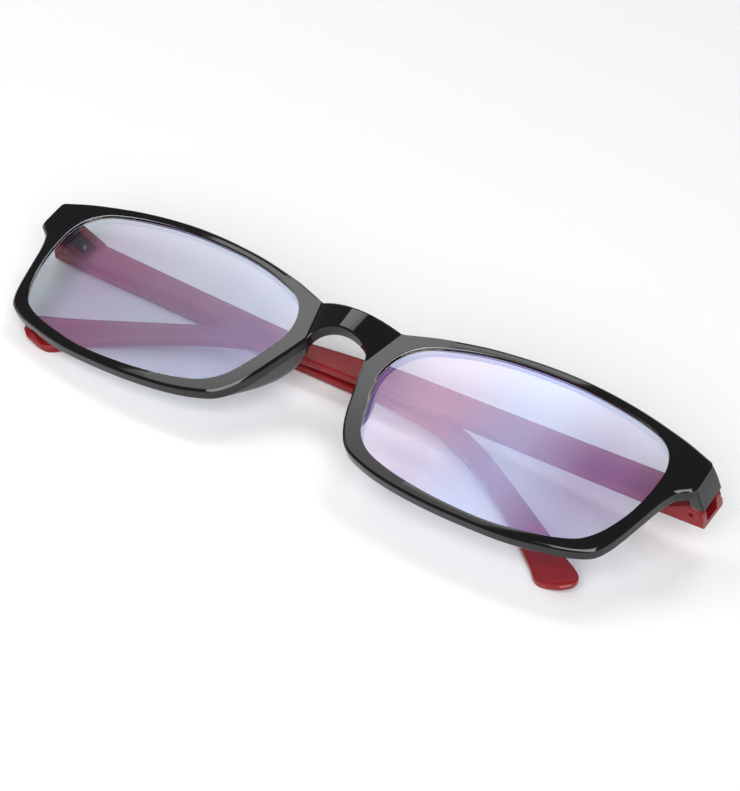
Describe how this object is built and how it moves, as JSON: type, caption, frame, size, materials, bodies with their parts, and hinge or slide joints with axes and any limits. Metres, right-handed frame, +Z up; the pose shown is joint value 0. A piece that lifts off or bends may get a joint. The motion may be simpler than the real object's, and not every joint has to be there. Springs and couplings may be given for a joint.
{
  "type": "blue light glasses",
  "caption": "Full-rim rectangular spectacles with a moulded front, coated lenses, moulded nose pads and folding temples, shown folded and lying face up.",
  "frame": {"origin": "middle of the footprint of the folded pair, on the surface it lies on", "axes": "+X to the viewer's right along the front, +Y towards the brow, +Z up out of the surface; the front face looks up and leans back"},
  "size_m": [0.1374, 0.0344, 0.021],
  "materials": {
    "black_plastic": "gloss moulded",
    "red_plastic": "semi-gloss moulded",
    "coated_lens": "polished, blue-violet coating",
    "screw_steel": "bright turned"
  },
  "bodies": {
    "front": {"front_frame": "black_plastic", "right_lens": "coated_lens", "left_lens": "coated_lens"},
    "right_arm": {"right_temple": "red_plastic", "right_hinge_screw": "screw_steel"},
    "left_arm": {"left_temple": "red_plastic", "left_hinge_screw": "screw_steel"}
  },
  "joints": [
    {"name": "right_hinge", "type": "hinge", "parent": "front", "child": "right_arm", "pos_m": [0.0659, 0.01145, 0.01039], "axis": [-0.0039, -0.9648, -0.2629], "range_deg": [0, 90]},
    {"name": "left_hinge", "type": "hinge", "parent": "front", "child": "left_arm", "pos_m": [-0.06559, 0.01379, 0.00376], "axis": [0.0039, 0.9648, 0.2629], "range_deg": [0, 88]}
  ]
}
